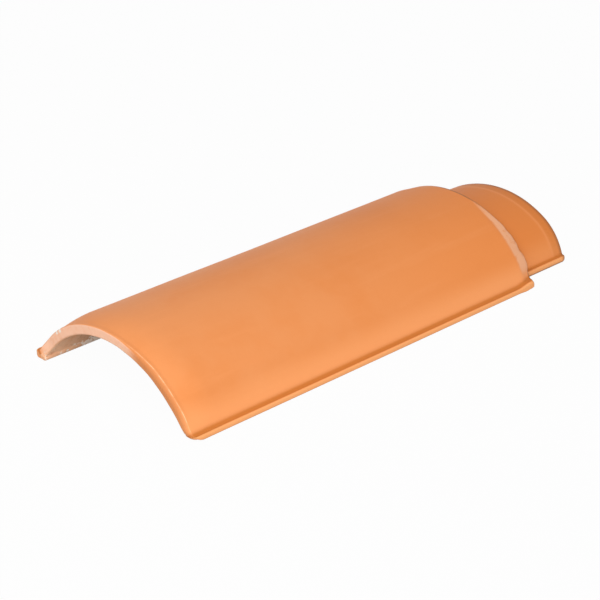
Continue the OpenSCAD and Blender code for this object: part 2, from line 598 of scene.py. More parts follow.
    def around(self) -> dict[str, np.ndarray]:
        """What each point of a full section is, from the far foot over the crown to the near foot.

        Returns:
            Shares for each point: "across" from 0 at the far sole to 1 at the near sole, "far" and "near"
            for the feet, "sole" for the sole, "ledge", "nose" and "under" for the parts of the lips, and
            "flank" for where the shoulder slopes.
        """
        n, parts = self.counts, self.parts
        index = np.arange(n.half())
        from_sole, from_ledge, from_arch = index - n.sole, index - n.lip(), index - n.foot()
        rise = np.clip(from_arch / (n.arch - 1.0), 0.0, 1.0)
        halves = {
            "sole": 1.0 - np.clip(index / n.sole, 0.0, 1.0),
            "ledge": smooth(*parts.ledge_begins, from_ledge) * (1.0 - smooth(*parts.ledge_ends, from_arch)),
            "nose": smooth(*parts.nose_begins, from_sole) * (1.0 - smooth(*parts.nose_ends, from_ledge)),
            "under": 1.0 - smooth(*parts.under_ends, from_sole),
            "flank": smooth(self.shoulder_from, self.shoulder_full, self.foot_angle * (1.0 - rise)),
        }
        mark = {name: self.mirrored(share) for name, share in halves.items()}
        feet = self.mirrored(1.0 - smooth(*parts.foot_ends, from_arch))
        far_side = np.arange(len(feet)) < n.half()
        mark["across"] = np.linspace(0.0, 1.0, len(feet))
        mark["far"] = np.where(far_side, feet, 0.0)
        mark["near"] = np.where(far_side, 0.0, feet)
        return mark

    @staticmethod
    def mirrored(share: np.ndarray) -> np.ndarray:
        """Values of a full section from those of a half section that both sides share."""
        return np.concatenate([share, share[-2::-1]])

    @staticmethod
    def both_sides(far: np.ndarray, near: np.ndarray) -> np.ndarray:
        """Join half sections into full ones, from the far foot over the crown to the near foot."""
        return np.concatenate([far, near[:, -2::-1] * np.array([-1.0, 1.0])], axis=1)

    @staticmethod
    def loop(outer: np.ndarray, inner: np.ndarray) -> np.ndarray:
        """Join the values of the outer and the inner side into one closed loop along axis 1."""
        return np.concatenate([outer, inner[:, -2:0:-1]], axis=1)

    def ring(self, outer: np.ndarray, inner: np.ndarray | float = 0.0) -> np.ndarray:
        """Join the values of one row, as loop does for many."""
        return self.loop(outer[None], np.broadcast_to(inner, outer.shape)[None])[0]

    @staticmethod
    def rounded(left: np.ndarray, along: float, deep: float) -> np.ndarray:
        """How far a lip's nose is drawn in by an elliptic corner, from the distance left to its end."""
        gone = np.clip(1.0 - left / along, 0.0, 1.0)
        return deep * (1.0 - np.sqrt(1.0 - gone**2))

    def drawn_share(self, x: np.ndarray) -> np.ndarray:
        """Share of the tail edge's own arch at each place: a power of the way from where it sets in."""
        way = (self.drawn_l - x) / (self.drawn_l - self.setback_arch)
        return np.clip(way, 0.0, 1.0) ** self.drawn_power

    def drawn(
        self, half: np.ndarray, angle: np.ndarray, share: np.ndarray, wall: Wall, swell: float = 0.0
    ) -> np.ndarray:
        """Bend the arch points of a half section towards the tail edge's own arch.

        Args:
            half: Half sections, shape (stations, points, 2).
            angle: Angles of the arch points.
            share: Share of the tail's arch at each station, shape (stations, 1).
            wall: Which side of the wall it is.
            swell: How far the flank swells out there, as half a sine wave from crown to foot.

        Returns:
            The bent half sections.
        """
        turn = angle * self.drawn_foot_angle / self.foot_angle
        offset = 0.0 if wall is Wall.OUTER else -self.drawn_wall
        aim = self.tail.points(turn, offset + swell * np.sin(np.pi * angle / self.foot_angle))
        bent = half.copy()
        start = self.counts.foot()
        bent[:, start:] += share[..., None] * (aim - half[:, start:])
        # The foot follows the end of the arch, less and less towards the sole.
        shift = bent[:, start : start + 1] - half[:, start : start + 1]
        follow = np.linspace(0.0, 1.0, start)[None, :, None] ** 2
        bent[:, :start] += shift * follow
        return bent

    def outer_halves(self, rows: dict[str, np.ndarray], side: Side) -> np.ndarray:
        """Outer half sections of every station, each from the sole to the crown.

        Args:
            rows: The stations.
            side: The side of the tile.

        Returns:
            Points of shape (stations, points, 2).
        """
        x = rows["outer"][:, None]
        slope = -self.shoulder_d * np.clip((x - self.body_l + self.shoulder_l) / self.shoulder_l, 0.0, 1.0)
        band = -self.band_d * np.clip((x - self.length + self.band_l) / self.band_l, 0.0, 1.0)
        head_corner = self.rounded(self.body_l - x, self.lip_corner_r, self.lip_corner_r)
        corners = self.rounded(x, *side.tail_corner) + head_corner
        filled = side.burr_fill * bell(*self.burr, x)
        raised = side.rise * smooth(self.body_l - self.near_rise_l, self.body_l - self.lip_corner_r, x)
        body, angle = side.body.outer_half(self.counts, slope, corners, filled, raised)
        body = self.drawn(body, angle, self.drawn_share(x), Wall.OUTER, side.swell)
        end_corner = self.rounded(self.length - self.head_r - x, self.spigot_corner_r, self.spigot_corner_r)
        neck, _ = side.spigot.outer_half(self.counts, band, end_corner)
        return body + rows["step_out"][:, None, None] * (neck - body)

    def inner_halves(self, rows: dict[str, np.ndarray]) -> np.ndarray:
        """Inner half sections of every station, each from the sole to the crown.

        Args:
            rows: The stations.

        Returns:
            Points of shape (stations, points, 2).
        """
        x = rows["inner"][:, None]
        body, angle = self.far.body.inner_half(self.counts, len(x))
        body = self.drawn(body, angle, self.drawn_share(x), Wall.INNER)
        neck, _ = self.far.spigot.inner_half(self.counts, len(x))
        return body + rows["step_in"][:, None, None] * (neck - body)

    def leaning(self, yz: np.ndarray, share: np.ndarray) -> np.ndarray:
        """Set the spigot off the middle: a shift, a lean that grows with the height squared, and a roll.

        Args:
            yz: Full sections, shape (stations, points, 2).
            share: Share of the spigot at each station.

        Returns:
            The sections with the spigot's set.
        """
        y, z = yz[..., 0], yz[..., 1]
        own = share[:, None]
        high = z / self.height
        shift = self.spigot_shift + self.spigot_lean * high**2
        return np.stack([y - own * shift, z - own * self.spigot_roll * y * high], axis=-1)

    def sections(self, rows: dict[str, np.ndarray]) -> tuple[np.ndarray, np.ndarray]:
        """Full sections of every station.

        Args:
            rows: The stations.

        Returns:
            The sections of the outer and of the inner side, each of shape (stations, points, 2).
        """
        outer = self.both_sides(self.outer_halves(rows, self.far), self.outer_halves(rows, self.near))
        half_in = self.inner_halves(rows)
        inner = self.both_sides(half_in, half_in)
        return self.leaning(outer, rows["step_out"]), self.leaning(inner, rows["step_in"])

    def places(self, rows: dict[str, np.ndarray], mark: dict[str, np.ndarray]) -> np.ndarray:
        """Distance of every loop point from the tail: that of its own side, halfway between both at a sole.

        Args:
            rows: The stations.
            mark: What each point of a full section is.

        Returns:
            Distances of shape (stations, loop).
        """
        own = 1.0 - 0.5 * mark["sole"]
        x_out, x_in = rows["outer"][:, None], rows["inner"][:, None]
        return self.loop(x_out * own + x_in * (1.0 - own), x_in * own + x_out * (1.0 - own))

    def tail_edge(self, mark: dict[str, np.ndarray]) -> tuple[np.ndarray, np.ndarray]:
        """How the tail edge is set back and rounded, as shares of the feet and of the way across.

        Args:
            mark: What each point of a full section is.

        Returns:
            For each loop point, how far the edge lies behind the end, and its radius.
        """
        across, near = mark["across"], mark["near"]
        setback = self.setback_arch * (1.0 - mark["far"] - near) + self.setback_near * near
        setback = setback + self.setback_all + sum(wave.at(across) for wave in self.setback_waves)
        radius = self.tail_far_r + (self.tail_near_r - self.tail_far_r) * smooth(*self.tail_near, across)
        radius = radius + (self.tail_foot_r - self.tail_near_r) * near
        radius_in = self.tail_in_r + (self.tail_foot_r - self.tail_in_r) * near
        return self.ring(setback, setback), self.ring(radius, radius_in)

    def spine(self, outer: np.ndarray, inner: np.ndarray) -> np.ndarray:
        """Middle of the wall, drawn to the middle of each foot.

        Args:
            outer: Outer side of a full section, shape (points, 2).
            inner: Inner side of it.

        Returns:
            A point for each loop point, shape (loop, 2).
        """
        n = self.counts
        middle = 0.5 * (outer + inner)
        feet = 0.5 * (outer[[0, -1], 0] + inner[[0, -1], 0])
        core_y = np.where(np.arange(len(outer)) < n.half(), feet[0], feet[1])
        core = np.stack([core_y, np.full(len(outer), 0.5 * self.far.body.lip_h)], axis=-1)
        draw = self.mirrored(1.0 - smooth(*self.parts.core_ends, np.arange(n.half()) - n.foot()))
        spine = middle + draw[:, None] * (core - middle)
        return self.ring(spine, spine)

    def cap(self, points: np.ndarray, spine: np.ndarray, radius: np.ndarray) -> tuple[np.ndarray, ...]:
        """End face of the wall: a flat core, then a quarter round of the given radius out to the section.

        Args:
            points: Loop of the last section, shape (loop, 2).
            spine: Middle of the wall for each loop point, shape (loop, 2).
            radius: Radius of the round at each loop point.

        Returns:
            Rows of loops from the core outwards, their depth behind the end, and how far round they are.
        """
        share = np.linspace(0.0, 1.0, self.cap_rows, endpoint=False)[:, None]
        reach = np.linalg.norm(points - spine, axis=1)[None, :]
        radius = np.minimum(radius[None, :], self.cap_round * reach)
        turn = np.clip((share - self.cap_flat) / (1.0 - self.cap_flat), 0.0, 1.0)
        theta = QUARTER_TURN * turn
        core = self.cap_core * reach
        flat = core + (reach - radius - core) * np.clip(share / self.cap_flat, 0.0, 1.0)
        out = np.where(share < self.cap_flat, flat, reach - radius + radius * np.sin(theta))
        depth = np.where(share < self.cap_flat, 0.0, radius * (1.0 - np.cos(theta)))
        rows = spine[None] + (points - spine)[None] * (out / np.maximum(reach, TINY))[..., None]
        return rows, depth, np.broadcast_to(turn, depth.shape)

    def heel(self, yz: np.ndarray) -> np.ndarray:
        """How far the near foot lies behind the tail edge: a quarter circle down to the floor."""
        left = np.clip(self.heel_r - yz[..., 1], 0.0, self.heel_r)
        return np.where(yz[..., 0] < 0.0, self.heel_r - np.sqrt(self.heel_r**2 - left**2), 0.0)

    def wander(self, mark: dict[str, np.ndarray], x: np.ndarray) -> np.ndarray:
        """How far the shoulder's edge lies towards the head: a bulge and a few waves on the flanks.

        Args:
            mark: What each point of a full section is.
            x: Distance of every point from the tail.

        Returns:
            What is added to the distances, with the shape of x.
        """
        past = x - self.body_l
        share = smooth(*self.wander_begins, past) * (1.0 - smooth(*self.wander_ends, past))
        bulge = self.shoulder_bulge * (1.0 - mark["far"] - mark["near"])
        waves = sum(wave.at(mark["across"]) for wave in self.shoulder_waves)
        return share * self.ring((bulge + waves) * mark["flank"])

    def fired(self, x: np.ndarray, yz: np.ndarray) -> np.ndarray:
        """Slight unevenness of a fired piece: waves along the tile times the square of the share of height.

        Args:
            x: Distance of every point from the tail.
            yz: The points, as (across, up).

        Returns:
            The uneven points, none of them under the floor.
        """
        y, z = yz[..., 0], yz[..., 1]
        lift = np.clip(z / self.height, 0.0, 1.0) ** 2
        sag = self.sag.at(x) + self.ripple.at(x + self.ripple_lag * y) - self.settled
        spread = sum(wave.at(x) for wave in self.spread_waves)
        spread = spread * (self.spread_low + (1.0 - self.spread_low) * lift) * np.sign(y)
        return np.stack([y + spread, np.maximum(z + sag * lift, 0.0)], axis=-1)

    def skin(self) -> tuple[np.ndarray, list[tuple[int, ...]], dict[str, np.ndarray]]:
        """The whole closed skin: the tail's end face, the sections along the tile and the head's end face.

        Returns:
            Points in metres in the frame of the part, faces, and the marks that the finish reads.
        """
        rows, mark = self.stations(), self.around()
        outer, inner = self.sections(rows)
        yz = self.loop(outer, inner)
        setback, tail_r = self.tail_edge(mark)
        head_r = np.full(len(tail_r), self.head_r)
        tail_rows, tail_depth, tail_turn = self.cap(yz[0], self.spine(outer[0], inner[0]), tail_r)
        head_rows, head_depth, head_turn = self.cap(yz[-1], self.spine(outer[-1], inner[-1]), head_r)

        x = self.places(rows, mark)
        seam = setback + np.minimum(tail_r, tail_depth.max(axis=0) * self.seam_gain + self.seam_gap)
        x = x + seam * np.clip(1.0 - x / self.drawn_l, 0.0, 1.0)
        x = np.concatenate([setback + tail_depth, x, (self.length - head_depth)[::-1]])
        yz = np.concatenate([tail_rows, yz, head_rows[::-1]])
        x = x + self.heel(yz) * np.clip(1.0 - x / self.drawn_l, 0.0, 1.0)
        x = x + self.wander(mark, x)
        yz = self.fired(x, yz)

        points = np.concatenate([x[..., None] - 0.5 * self.length, yz], axis=-1) * MM
        marks = self.marks(rows, mark, x, tail_turn, head_turn)
        return points.reshape(-1, 3), self.faces(*x.shape), {name: v.ravel() for name, v in marks.items()}

    def tail_marks(self, mark: dict[str, np.ndarray], turn: np.ndarray) -> dict[str, np.ndarray]:
        """Marks on the rows of the tail's end face.

        Args:
            mark: What each point of a full section is.
            turn: How far round the edge each point is.

        Returns:
            The marks "bare", "rim" with its painted shade, "pale" with wear and a painted highlight, and
            "chip" of those rows.
        """
        wear, across = self.wear, mark["across"]
        outer = self.ring(np.ones_like(across))
        run = smooth(*wear.run, across)
        run, far, near = (self.ring(share, share) for share in (run, mark["far"], mark["near"]))
        bare = (1.0 - smooth(*wear.tail_bare, turn)) * (1.0 - wear.run_cover * run)
        # Painted shade, partly dirt, along the inner edge and on the face of the tail; the far foot is
        # darker too.
        edge = wear.shade_edge * bell(*wear.shade_line, turn) * (1.0 - outer)
        face = wear.shade_face * (1.0 - smooth(*wear.shade_ends, turn))
        # Worn slip with a painted highlight along the outer edge.
        pale = bell(*wear.pale_line, turn) * outer * (wear.pale_far + (1.0 - wear.pale_far) * run)
        chips = sum(bell(place, wear.chip_w, across) for place in wear.chips)
        return {
            "bare": bare * (1.0 - wear.far_cover * far),
            "rim": np.maximum(edge, face) * run + wear.dark_far_foot * far,
            "pale": pale * (1.0 - wear.pale_foot * near),
            "chip": self.ring(chips) * smooth(*wear.chip_rows, np.arange(len(turn)))[:, None],
        }

    def shoulder_marks(
        self, rows: dict[str, np.ndarray], mark: dict[str, np.ndarray]
    ) -> dict[str, np.ndarray]:
        """Marks of the shoulder on the rows between the two end faces: a bare band that tapers to the crown,
        and painted shade at its brink.

        Args:
            rows: The stations.
            mark: What each point of a full section is.

        Returns:
            The marks "shoulder" and "rim", the painted shade at the brink, of those rows.
        """
        wear = self.wear
        width = wear.band_crown + (1.0 - wear.band_crown) * np.sqrt(mark["flank"])
        begins = self.body_l - self.shoulder_l * width
        slope = smooth(*wear.band_begins, rows["outer"][:, None] - begins)
        slope = slope * (1.0 - smooth(*wear.band_ends, rows["step_out"]))[:, None]
        edge = mark["flank"] ** wear.band_fade * (1.0 - mark["far"] - mark["near"])
        # Painted shade: a dark brink before the shoulder's edge where it has no bare band.
        brink = smooth(*wear.brink, rows["outer"] - self.body_l) * (1.0 - rows["step_out"])
        blank = np.zeros_like(slope)
        return {
            "shoulder": self.loop(slope * edge, blank),
            "rim": self.loop(brink[:, None] * (1.0 - edge), blank),
        }

    def marks(
        self,
        rows: dict[str, np.ndarray],
        mark: dict[str, np.ndarray],
        x: np.ndarray,
        tail_turn: np.ndarray,
        head_turn: np.ndarray,
    ) -> dict[str, np.ndarray]:
        """Marks for the finish on every point, each from 0 to 1.

        Args:
            rows: The stations.
            mark: What each point of a full section is.
            x: Distance of every point from the tail.
            tail_turn: How far round the edge each point of the tail's end face is.
            head_turn: The same for the head's end face.

        Returns:
            "bare" where no slip covers the clay, "inside" for the rough inner side, "ledge" for painted
            shade with pooled slip in the hollow of the lips, "nose" for painted light on their outer face,
            "under" for painted shade on their lower edge, "shoulder" on the sloped shoulder edge, "rim" for
            painted shade on the sharp edges and the tail's end face, "pale" for wear and a painted highlight
            on the edge of the tail, "chip" where a chip shows lime,
            "band" for painted shade on the spigot's end, and "crease" for a painted highlight with thinner
            slip on the line where that band begins.
        """
        wear = self.wear
        flat = np.zeros_like(mark["across"])
        outer = self.ring(flat + 1.0)
        run = smooth(*wear.run, mark["across"])
        run_in = self.ring(run, run) * (1.0 - smooth(*wear.run_in, x))
        # Painted shade on the lips' lower edge, weaker on the body.
        under = wear.under_body + (1.0 - wear.under_body) * smooth(*wear.under_grows, x - self.body_l)
        past_band = x - self.length + self.band_l
        marks = {name: np.zeros_like(x) for name in ("bare", "shoulder", "rim", "pale", "chip")}
        for name, values in self.tail_marks(mark, tail_turn).items():
            marks[name][: len(tail_turn)] = values
        for name, values in self.shoulder_marks(rows, mark).items():
            marks[name][len(tail_turn) : -len(head_turn)] = values
        marks["bare"][-len(head_turn) :] = 1.0 - smooth(*wear.head_bare, head_turn[::-1])
        # Painted shade: a dark rim round the spigot's end.
        marks["rim"] += smooth(*wear.end_rim, x - self.length) * outer
        marks["inside"] = self.ring(flat, 1.0 - mark["sole"]) * (1.0 - run_in)
        marks["ledge"] = np.broadcast_to(self.ring(mark["ledge"]), x.shape)
        marks["nose"] = np.broadcast_to(self.ring(mark["nose"]), x.shape)
        marks["under"] = self.ring(mark["under"]) * under
        # Painted shade on the spigot's end band, and a painted highlight with thinner slip on its crease.
        marks["band"] = smooth(*wear.end_band, past_band) * outer
        marks["crease"] = bell(0.0, wear.crease_w, past_band) * outer
        return marks

    @staticmethod
    def faces(row_count: int, loop_count: int) -> list[tuple[int, ...]]:
        """Quads between neighbouring rows, and a bridge across the wall at each end.

        Args:
            row_count: Number of rows.
            loop_count: Number of points of each loop.

        Returns:
            The faces, all turned the same way.
        """
        r, c = np.meshgrid(np.arange(row_count - 1), np.arange(loop_count), indexing="ij")
        nxt = (c + 1) % loop_count
        a, b = r * loop_count + c, r * loop_count + nxt
        quads = np.stack([a, b, b + loop_count, a + loop_count], axis=-1).reshape(-1, 4)
        half = loop_count // 2
        j = np.arange(1, half - 1)
        bridge = np.stack([j, loop_count - j, loop_count - j - 1, j + 1], axis=-1)
        ends = [(0, loop_count - 1, 1), (half - 1, half + 1, half)]
        base = (row_count - 1) * loop_count
        faces = [tuple(q) for q in quads.tolist()]
        faces += [tuple(q) for q in bridge.tolist()] + ends
        faces += [tuple(q[::-1]) for q in (bridge + base).tolist()]
        faces += [tuple(i + base for i in reversed(t)) for t in ends]
        return faces

    def build(self) -> bpy.types.Object:
        """Write the skin into a mesh object with its marks as point attributes.

        Returns:
            The object.
        """
        points, faces, marks = self.skin()
        mesh = bpy.data.meshes.new("clay_tile")
        mesh.from_pydata(points.tolist(), [], faces)
        for name, values in marks.items():
            mesh.attributes.new(name, "FLOAT", "POINT").data.foreach_set("value", values.astype(np.float32))
        mesh.polygons.foreach_set("use_smooth", np.ones(len(mesh.polygons), dtype=bool))
        mesh.update()
        piece = bpy.data.objects.new("clay_tile", mesh)
        bpy.context.scene.collection.objects.link(piece)
        return piece


@dataclass(frozen=True)
class Value:
    """A shader value: a socket that plain arithmetic can be written with."""

    graph: "Graph"
    socket: bpy.types.NodeSocket

    def _maths(self, operation: str, first: Any, second: Any) -> "Value":
        """Add a Math node of two values."""
        return self.graph.node("ShaderNodeMath", {"operation": operation}, {0: first, 1: second})

    def __add__(self, other: Any) -> "Value":
        """Sum."""
        return self._maths("ADD", self, other)

    def __radd__(self, other: Any) -> "Value":
        """Sum, reflected."""
        return self._maths("ADD", other, self)

    def __sub__(self, other: Any) -> "Value":
        """Difference."""
        return self._maths("SUBTRACT", self, other)

    def __rsub__(self, other: Any) -> "Value":
        """Difference, reflected."""
        return self._maths("SUBTRACT", other, self)

    def __mul__(self, other: Any) -> "Value":
        """Product."""
        return self._maths("MULTIPLY", self, other)

    def __rmul__(self, other: Any) -> "Value":
        """Product, reflected."""
        return self._maths("MULTIPLY", other, self)

    def highest(self, other: Any) -> "Value":
        """The larger of two values."""
        return self._maths("MAXIMUM", self, other)

    def step(self, low: float, high: float) -> "Value":
        """Ease from 0 at low to 1 at high."""
        inputs = {"Value": self, "From Min": low, "From Max": high}
        return self.graph.node("ShaderNodeMapRange", {"interpolation_type": "SMOOTHSTEP"}, inputs)


@dataclass(frozen=True)
class Grain:
    """Scale, detail and roughness of a cloudy noise."""

    scale: float
    detail: float
    roughness: float


@dataclass(frozen=True)
class Veil:
    """How one colour is laid over another: nothing of it at low, and its full share at high."""

    low: float
    high: float
    share: float

    def over(self, value: Value) -> Value:
        """Share of the colour for a value."""
        return value.step(self.low, self.high) * self.share


@dataclass(frozen=True)
class Graph:
    """A node tree, written as expressions."""

    tree: bpy.types.NodeTree

    def shader(self) -> bpy.types.Node:
        """The Principled shader that a new material comes with."""
        return self.tree.nodes["Principled BSDF"]

    def node(self, kind: str, settings: dict[str, Any], inputs: dict[Any, Any], output: Any = 0) -> Value:
        """Add any node.

        Args:
            kind: The node's type.
            settings: Its own settings, set first.
            inputs: Values or links of its sockets, by name or index.
            output: Which output is wanted.

        Returns:
            The chosen output.
        """
        made = self.tree.nodes.new(kind)
        for key, value in settings.items():
            setattr(made, key, value)
        for key, value in inputs.items():
            self.feed(made.inputs[key], value)
        return Value(self, made.outputs[output])

    def feed(self, socket: bpy.types.NodeSocket, value: Any) -> None:
        """Link a shader value to a socket, or set a plain one on it.

        Args:
            socket: The socket.
            value: A shader value, a number, a vector, or a colour of three shares.
        """
        if isinstance(value, Value):
            self.tree.links.new(value.socket, socket)
        elif isinstance(value, tuple) and len(value) == 3 and socket.type == "RGBA":
            socket.default_value = (*value, 1.0)
        else:
            socket.default_value = value

    def mark(self, name: str) -> Value:
        """Read one of the piece's own point attributes."""
        return self.node("ShaderNodeAttribute", {"attribute_name": name}, {}, "Fac")

    def place(self, stretch: tuple[float, float, float] = (1.0, 1.0, 1.0)) -> Value:
        """Object coordinates, stretched along each axis."""
        where = self.node("ShaderNodeTexCoord", {}, {}, "Object")
        return self.node("ShaderNodeMapping", {}, {"Vector": where, "Scale": stretch})

    def axis(self, place: Value, name: str) -> Value:
        """One coordinate of a place."""
        return self.node("ShaderNodeSeparateXYZ", {}, {"Vector": place}, name)

    def noise(self, place: Value, grain: Grain) -> Value:
        """Cloudy noise from 0 to 1."""
        inputs = {"Scale": grain.scale, "Detail": grain.detail, "Roughness": grain.roughness}
        return self.node("ShaderNodeTexNoise", {}, {"Vector": place, **inputs}, "Fac")

    def blend(self, share: Any, first: Any, second: Any) -> Value:
        """Mix two colours."""
        settings = {"data_type": "RGBA", "clamp_factor": True}
        return self.node("ShaderNodeMix", settings, {0: share, 6: first, 7: second}, 2)

    def bump(self, height: Value, depth: float, normal: Value | None = None) -> Value:
        """Bump laid over another normal.

        Args:
            height: Height of the surface, from 0 to 1.
            depth: Depth of the bump in metres.
            normal: The normal under it, or None for the surface's own.

        Returns:
            The new normal.
        """
        inputs: dict[str, Any] = {"Height": height, "Strength": 1.0, "Distance": depth}
        if normal is not None:
            inputs["Normal"] = normal
        return self.node("ShaderNodeBump", {}, inputs)


def new_material(name: str) -> tuple[bpy.types.Material, Graph]:
    """Start a material.

    Args:
        name: Name of the material.

    Returns:
        The material, and the graph of its nodes.
    """
    material = bpy.data.materials.new(name)
    material.use_nodes = True
    return material, Graph(material.node_tree)


@dataclass(frozen=True)
class FiredClay:
    """Orange slip over pinkish fired clay, tan and rough inside, with lime specks, and painted light and
    shade. All sizes are metres.
    """

    # Places of the tail edge and of the shoulder along the tile.
    tail: float
    shoulder: float
    slip_tail: Colour = (0.800, 0.294, 0.100)
    # Painted shade: the slip is darker towards the head, where the light falls off.
    slip_head_shaded: Colour = (0.810, 0.263, 0.069)
    slip_pale: Colour = (0.850, 0.316, 0.110)
    # Painted light: paler low on the flanks, where the lamp lights them most.
    slip_low_lit: Colour = (0.935, 0.360, 0.129)
    slip_dark: Colour = (0.770, 0.245, 0.062)
    # Painted shade: the spigot is darker, as the light falls off towards the head.
    spigot: Colour = (0.740, 0.228, 0.053)
    # Painted shade in the hollow over each lip and on the spigot's end band, with some pooled slip in the
    # hollow.
    hollow: Colour = (0.560, 0.165, 0.026)
    # Painted light: the lips' outer faces brighter, as they face the lamp.
    nose: Colour = (0.950, 0.420, 0.160)
    bare: Colour = (0.900, 0.525, 0.357)
    edge: Colour = (0.900, 0.440, 0.240)
    # Worn edge, and also a painted highlight along the tail's rounded outer edge.
    worn: Colour = (0.960, 0.640, 0.390)
    inside: Colour = (0.820, 0.510, 0.320)
    lime: Colour = (0.860, 0.780, 0.680)
    # Dark specks, and the dark of painted shade on the rims, the lips' lower edges and deep inside.
    soot_and_shade: Colour = (0.300, 0.110, 0.040)
    # Noises, and how the streaks are drawn out along the tile.
    grain: Grain = Grain(900.0, 2.0, 0.6)
    fine: Grain = Grain(260.0, 3.0, 0.6)
    speck: Grain = Grain(210.0, 3.0, 0.6)
    ragged: Grain = Grain(120.0, 4.0, 0.65)
    streak: Grain = Grain(60.0, 3.0, 0.6)
    mottle: Grain = Grain(30.0, 4.0, 0.55)
    cloud: Grain = Grain(14.0, 4.0, 0.55)
    streak_stretch: tuple[float, float, float] = (0.12, 1.0, 1.0)
    # Slip: where painted shade darkens it from the tail on towards the head, where the spigot's darker
    # painted shade begins from the shoulder on, and the heights over the floor at which painted light makes
    # it paler, less so on the spigot.
    shade_deepens: Span = (0.1125, 0.4325)
    neck: Span = (-0.0015, 0.0010)
    spigot_shade_share: float = 0.85
    low: Veil = Veil(0.030, 0.010, 0.85)
    low_neck_lit: Veil = Veil(0.030, 0.010, 0.40)
    dark_clouds: Veil = Veil(0.60, 0.30, 0.55)
    pale_streaks: Veil = Veil(0.50, 0.75, 0.30)
    pits: Veil = Veil(0.66, 0.80, 0.12)
    # How much of its own colour each mark on the slip has.
    crease_share: float = 0.6
    nose_share: float = 0.85
    ledge_share: float = 0.9
    band_share: float = 0.3
    rim_share: float = 0.8
    pale_least: float = 0.3
    pale_broken: Veil = Veil(0.42, 0.58, 0.60)
    # Inner side: distances in from the tail over which painted shade darkens it and its lime grows denser,
    # and the height over the floor up to which the lime has bloomed.
    deep: Veil = Veil(0.0075, 0.0675, 0.50)
    damp: Veil = Veil(0.0125, 0.0575, 0.18)
    bloom: Span = (0.013, 0.003)
    bloom_least: float = 0.10
    mottled: Veil = Veil(0.40, 0.70, 0.50)
    sooty: Veil = Veil(0.50, 0.80, 0.35)
    limed: Veil = Veil(0.66, 0.74, 0.85)
    # Bare clay on the shoulder, on the end faces and in the chips: how ragged its edges are, and the spans
    # of the marks at which they lie.
    shoulder_least: float = 0.45
    shoulder_broken: Veil = Veil(0.30, 0.55, 0.55)
    shoulder_edge: Span = (0.20, 0.90)
    bare_ragged: float = 0.35
    bare_edge: Span = (0.22, 0.80)
    bare_tint: Veil = Veil(0.45, 0.75, 0.25)
    chip_ragged: float = 0.8
    chip_edge: Span = (0.40, 0.75)
    # Depths of the bumps, and what is left of the finest one on the slip.
    cloud_depth: float = 0.00025
    fine_depth: float = 0.00010
    grain_depth: float = 0.00006
    grain_least: float = 0.4
    # Roughness of the slip, what bare clay adds to it, and how uneven it is.
    satin: float = 0.48
    dull: float = 0.28
    uneven: float = 0.12
    specular: float = 0.12

    def outer(self, g: Graph, place: Value, cloud: Value, grain: Value, ragged: Value) -> Value:
        """Colour of the slip, streaked along the tile, with painted light and shade: darker towards the head
        and on the spigot, paler low on the flanks, bright on the lips' outer faces, dark in the hollows, on
        the end band, rims and lower edges, and painted highlights on the crease and the tail's edge.

        Args:
            g: The graph to write in.
            place: Object coordinates.
            cloud: The noise of wide clouds.
            grain: The noise of the finest grain.
            ragged: The noise that breaks up the worn, highlighted edge.

        Returns:
            The colour.
        """
        x, z = g.axis(place, "X"), g.axis(place, "Z")
        streak = g.noise(g.place(self.streak_stretch), self.streak)
        neck = (x - self.shoulder).step(*self.neck)
        nose = g.mark("nose")
        # Painted shade: darker towards the head.
        slip = g.blend((x - self.tail).step(*self.shade_deepens), self.slip_tail, self.slip_head_shaded)
        slip = g.blend(self.dark_clouds.over(cloud), slip, self.slip_dark)
        slip = g.blend(self.pale_streaks.over(streak), slip, self.slip_pale)
        # Painted light: paler towards the floor, less so on the spigot.
        slip = g.blend(self.low.over(z), slip, self.slip_low_lit)
        # Painted shade: the spigot darker beyond the shoulder.
        slip = g.blend(neck * self.spigot_shade_share, slip, self.spigot)
        slip = g.blend(self.low_neck_lit.over(z) * neck, slip, self.slip_low_lit)
        slip = g.blend(self.pits.over(grain), slip, self.soot_and_shade)
        # Painted highlight, with thinner slip, along the crease where the spigot's end band begins.
        slip = g.blend(g.mark("crease") * self.crease_share, slip, self.slip_pale)
        # Painted light on the lips' outer faces.
        slip = g.blend(nose * self.nose_share, slip, self.nose)
        # Painted shade, with pooled slip, in the hollow over the lips.
        slip = g.blend(g.mark("ledge") * self.ledge_share, slip, self.hollow)
        # Painted shade on the sloping band at the spigot's end.
        slip = g.blend(g.mark("band") * (1.0 - nose) * self.band_share, slip, self.hollow)
        # Worn slip and a painted highlight along the tail's outer edge.
        slip = g.blend(g.mark("pale") * (self.pale_least + self.pale_broken.over(ragged)), slip, self.worn)
        # Painted shade on the dark rims and the lips' lower edges.
        return g.blend(g.mark("rim").highest(g.mark("under")) * self.rim_share, slip, self.soot_and_shade)

    def inner(self, g: Graph, place: Value, fine: Value) -> Value:
        """Colour of the rough inner side, with sooty patches, painted shade deeper in from the tail, and
        lime that has bloomed near the floor.

        Args:
            g: The graph to write in.
            place: Object coordinates.
            fine: The fine unevenness of the clay.

        Returns:
            The colour.
        """
        from_tail = g.axis(place, "X") - self.tail
        bloom = g.axis(place, "Z").step(*self.bloom) * (self.bloom_least + self.damp.over(from_tail))
        inner = g.blend(self.mottled.over(g.noise(place, self.mottle)), self.inside, self.slip_dark)
        inner = g.blend(self.sooty.over(fine), inner, self.soot_and_shade)
        # Painted shade: darker deeper in from the tail.
        inner = g.blend(self.deep.over(from_tail), inner, self.soot_and_shade)
        return g.blend(self.limed.over(g.noise(place, self.speck) + bloom), inner, self.lime)

